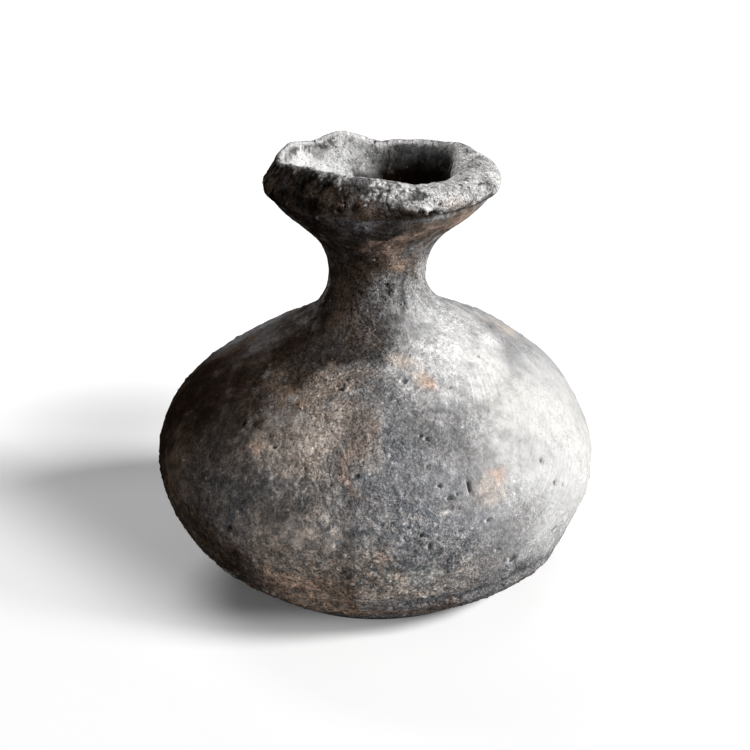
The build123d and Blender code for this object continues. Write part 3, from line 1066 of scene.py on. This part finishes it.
def fired_clay(name, ash, grit, soot_and_shade_in_cracks):
    """Smoked earthenware: the painted colours with dust, smoke, grit and pits, painted shade in
    hollows and pits, painted highlights on grains and beside pits, quite matt.
    """
    material = bpy.data.materials.new(name)
    nodes = Nodes(material)
    metres = nodes.add("ShaderNodeTexCoord").outputs["Object"]
    place = nodes.vector("MULTIPLY", metres, (1 / MM, 1 / MM, 1 / MM))
    grain, pit, rim, gritty = (nodes.attribute(mask) for mask in MASKS)
    firing = nodes.attribute("firing", "Vector")

    # Dust, smoke, the worn pale rim and the painted highlights beside pits over the painted
    # colours
    mottle = nodes.noise(place, 3.0, detail=6, roughness=0.72)
    dust = nodes.noise(nodes.vector("ADD", place, (5, 60, 3)), 5, detail=7, roughness=0.72)
    smoke = nodes.noise(nodes.vector("ADD", place, (40, 10, 7)), 11, detail=6, roughness=0.62)
    dusted = nodes.vector("MULTIPLY", firing, DUST_TINT)
    dusting = nodes.times(nodes.between(dust, 0.48, 0.7, 0, ash), nodes.math("ADD", gritty, 0.15))
    colour = nodes.mix(dusting, firing, dusted)
    smoked = nodes.times(nodes.between(smoke, 0.54, 0.76, 0, 0.7), gritty)
    colour = nodes.mix(smoked, colour, (*SMOKE, 1))
    colour = nodes.mix(nodes.between(rim, 0.1, 0.9, 0, 0.8), colour, (*CHALK, 1))

    # Soot and painted shade in the cracks between grains
    fleck = nodes.noise(nodes.vector("ADD", place, (9, 3, 33)), 0.7, detail=3, roughness=0.8)
    crack_soot_and_shade = nodes.between(grain, 0.1, 0.34, 0.8, 0.0)
    crack_soot_and_shade = nodes.math("MAXIMUM", crack_soot_and_shade, nodes.between(fleck, 0.36, 0.43, 1.0, 0.0))
    colour = nodes.mix(nodes.times(crack_soot_and_shade, soot_and_shade_in_cracks), colour, (*SOOT, 1))

    # Light grains, partly painted highlight; dark holes, painted shade; and specks
    cells = nodes.cells(place, GRIT_SIZE)
    picked = nodes.vector("DOT_PRODUCT", cells["Color"], (1, 0, 0), out="Value")
    spot = nodes.times(nodes.between(cells["Distance"], 0.18, 0.36, 1.0, 0.0), gritty)
    grains = nodes.times(spot, nodes.math("GREATER_THAN", picked, 0.68))
    holes = nodes.times(spot, nodes.math("LESS_THAN", picked, 0.2))
    speck = nodes.noise(place, 0.5, detail=3, roughness=0.75)
    contrast = nodes.times(gritty, grit, nodes.between(speck, 0.3, 0.7, -1, 1))
    cloudy = nodes.math("ADD", gritty, 0.25)
    clouds = nodes.times(nodes.between(mottle, 0.3, 0.7, -0.2, 0.2), cloudy)
    shade = nodes.times(
        nodes.math("ADD", nodes.math("ADD", clouds, 1.0), contrast),
        # Paler on raised grit, as wear and painted highlight, and darker in its hollows, painted
        # shade
        nodes.between(grain, 0.35, 0.95, 0.9, 1.35),
        # Painted shade in the pits and gouges
        nodes.between(pit, 0.4, 0.6, 1.0, 0.4),
        # Grains paler, partly painted highlight, and holes darker, painted shade
        nodes.between(grains, 0.0, 1.0, 1.0, 1.7),
        nodes.between(holes, 0.0, 1.0, 1.0, 0.3),
    )
    colour = nodes.vector("MULTIPLY", colour, shade)

    # A few bright dots of sand
    dot_size = nodes.between(nodes.noise(place, 1.9, detail=0), 0.56, 0.82, 0.0, 0.24)
    is_dot = nodes.math("LESS_THAN", nodes.cells(place, SAND_SIZE)["Distance"], dot_size)
    bright = nodes.vector("MULTIPLY_ADD", firing, (2.2, 2.15, 2.05), (0.06, 0.06, 0.06))
    dots = nodes.times(is_dot, nodes.between(gritty, 0.15, 0.5, 0.15, 1.0), 0.8)
    colour = nodes.mix(dots, colour, bright)

    lumps = nodes.noise(nodes.vector("ADD", place, (71, 2, 15)), 1.0, detail=4, roughness=0.62)
    rise = nodes.math("ADD", nodes.times(lumps, 4.5), nodes.math("SUBTRACT", grains, holes))
    bump = nodes.bump(rise, nodes.between(gritty, 0.0, 0.8, 0.1, 1.0), GRIT_DEPTH)
    finer = nodes.noise(place, 0.3, detail=2, roughness=0.7)
    bump = nodes.bump(finer, 0.9, FINE_DEPTH, Normal=bump)

    rough = nodes.between(mottle, 0.3, 0.7, 0.62, 0.86)
    values = {"Base Color": colour, "Roughness": rough, "Normal": bump, "Specular IOR Level": 0.0}
    shader = nodes.add("ShaderNodeBsdfPrincipled", values)
    nodes.add("ShaderNodeOutputMaterial", {"Surface": shader.outputs[0]})
    return material


def make_floor():
    """A white table that keeps the flask's soft shadow, greyed by painted shadow at its far edge
    and thinned out by painted light in front and far left.
    """
    mesh = bpy.data.meshes.new("table_top")
    half = TABLE_HALF
    corners = [(-half, -half, 0), (half, -half, 0), (half, half, 0), (-half, half, 0)]
    mesh.from_pydata(corners, [], [(0, 1, 2, 3)])
    material = bpy.data.materials.new("white_table")
    nodes = Nodes(material)
    seen = nodes.seen()
    place = nodes.add("ShaderNodeTexCoord").outputs["Object"]
    # Painted shadow: the table shows greyer round the shadow's far edge
    from_edge = nodes.vector("DISTANCE", place, SHADOW_BACK_EDGE, out="Value")
    white = nodes.between(from_edge, 0, SHADOW_BACK_REACH, *TABLE_WHITE)
    colour = nodes.mix(seen, TABLE_GREY, white)
    matt = nodes.add("ShaderNodeBsdfDiffuse", {"Color": colour}).outputs[0]
    # Painted light: a glow seen by the camera thins the shadow out to the left and in front
    leftward = nodes.vector("DOT_PRODUCT", place, (-0.8, -0.6, 0), out="Value")
    forward = nodes.vector("DOT_PRODUCT", place, (0, -1, 0), out="Value")
    kept = nodes.times(
        nodes.between(leftward, *SHADOW_LEFT, 0.97, 0.2),
        nodes.between(forward, *SHADOW_FRONT, 1.0, 0.7),
    )
    painted_light = nodes.times(seen, nodes.math("SUBTRACT", 1.0, kept))
    glow = nodes.add("ShaderNodeEmission", {"Color": PAPER_WHITE}).outputs[0]
    both = nodes.add("ShaderNodeMixShader", {"Fac": painted_light, 1: matt, 2: glow})
    nodes.add("ShaderNodeOutputMaterial", {"Surface": both.outputs[0]})
    mesh.materials.append(material)
    show("table_top", mesh)


def make_world():
    """White to the camera, and a weak even grey as light."""
    world = bpy.data.worlds.new("room")
    bpy.context.scene.world = world
    nodes = Nodes(world)
    colour = nodes.mix(nodes.seen(), ROOM_GREY, (1, 1, 1, 1))
    back = nodes.add("ShaderNodeBackground", {"Color": colour, "Strength": 1.0})
    nodes.add("ShaderNodeOutputWorld", {"Surface": back.outputs[0]})


def aim(thing, place, target):
    """Puts a lamp or camera at a place in millimetres, looking at a target."""
    start, end = Vector(place) * MM, Vector(target) * MM
    thing.location = start
    thing.rotation_euler = (end - start).to_track_quat("-Z", "Y").to_euler()


def make_lamp(name, direction, size, level):
    """A round soft lamp; level is how bright it makes white clay that faces it."""
    lamp = bpy.data.lights.new(name, "AREA")
    lamp.shape = "DISK"
    lamp.size = size * MM
    lamp.energy = level * (math.pi * LAMP_DISTANCE * MM) ** 2
    length = math.sqrt(sum(x * x for x in direction))
    place = [x / length * LAMP_DISTANCE for x in direction]
    place[2] += LAMP_TARGET_Z
    aim(show(name, lamp), place, (0, 0, LAMP_TARGET_Z))


def make_camera():
    """The photo's view, from above the table."""
    data = bpy.data.cameras.new("camera")
    data.sensor_width = SENSOR_WIDTH
    data.lens = LENS
    data.clip_start = 0.01
    camera = show("camera", data)
    slope = math.radians(CAMERA_SLOPE)
    back, up = CAMERA_DISTANCE * math.cos(slope), CAMERA_DISTANCE * math.sin(slope)
    aim(camera, (0, -back, CAMERA_TARGET_Z + up), (0, 0, CAMERA_TARGET_Z))
    bpy.context.scene.camera = camera


def main():
    bpy.context.scene.view_settings.view_transform = "Standard"
    materials = {slot: fired_clay(slot, *looks) for slot, looks in CLAYS.items()}
    outer, inner = build_skins()
    joins = [None, *JOINS, None]
    for name, slot, low, high in zip(NODES, SLOTS, joins[:-1], joins[1:]):
        make_piece(name, outer, inner, low, high, materials[slot])
    make_floor()
    make_world()
    for name, lamp in LAMPS.items():
        make_lamp(name, *lamp)
    make_camera()


main()
